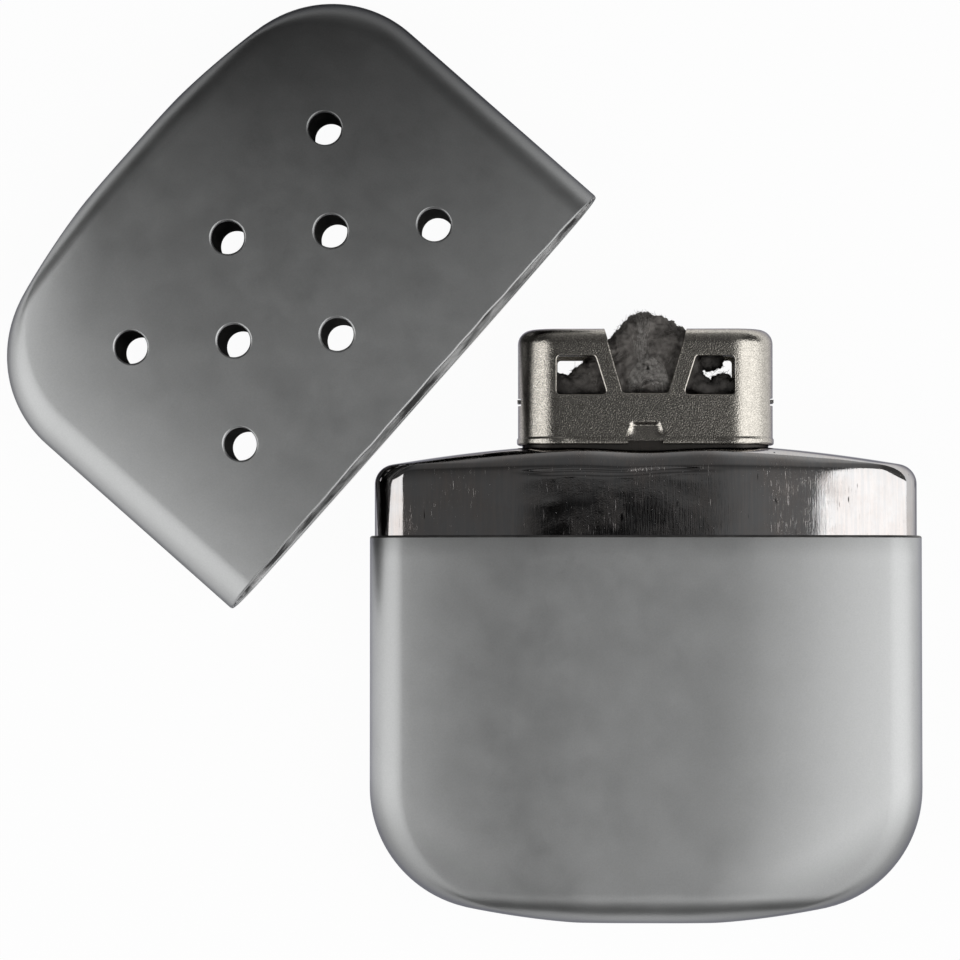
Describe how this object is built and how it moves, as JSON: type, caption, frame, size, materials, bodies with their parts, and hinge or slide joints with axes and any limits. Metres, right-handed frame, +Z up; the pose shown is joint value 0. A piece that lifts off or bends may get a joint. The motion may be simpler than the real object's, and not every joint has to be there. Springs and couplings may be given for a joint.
{
  "type": "catalytic hand warmer",
  "caption": "Pocket fuel hand warmer: oval sheet-metal tank with a push-on catalytic burner, and a vented lid pulled off and laid beside it.",
  "frame": {"origin": "centre of the width of the case's flat back, halfway along the case", "axes": "+X to the right, +Y along the tank towards the burner, +Z up from the surface that the warmer lies on"},
  "size_m": [0.113, 0.1133, 0.014],
  "materials": {
    "satin_case": "fine satin nickel over drawn sheet",
    "polished_shoulder": "polished nickel with fine handling marks",
    "solder": "dull tin solder",
    "neck_plating": "bright nickel",
    "cotton": "loose cotton wadding",
    "felt": "dense pressed felt",
    "burner_plating": "grained nickel plate with bright cut edges",
    "retainer_steel": "heat-darkened plate",
    "gauze_wire": "woven wire gauze",
    "catalyst_fibre": "matted glass fibre, grey-brown",
    "satin_lid": "fine satin nickel over drawn sheet"
  },
  "bodies": {
    "tank": {"outer_case": "satin_case", "tank_top": "polished_shoulder", "seam_solder": "solder", "filler_neck": "neck_plating", "fuel_wadding": "cotton", "wick_felt": "felt"},
    "burner": {"burner_frame": "burner_plating", "burner_retainer": "retainer_steel", "burner_gauze": "gauze_wire", "catalyst_wool": "catalyst_fibre"},
    "lid": {"lid_shell": "satin_lid"}
  },
  "joints": [
    {"name": "burner_slide", "type": "slide", "parent": "tank", "child": "burner", "axis": [0, 1, 0], "range_m": [0, 0.005]},
    {"name": "lid_slide", "type": "slide", "parent": "tank", "child": "lid", "axis": [-0.749, 0.6626, 0], "range_m": [0, 0.03]}
  ]
}
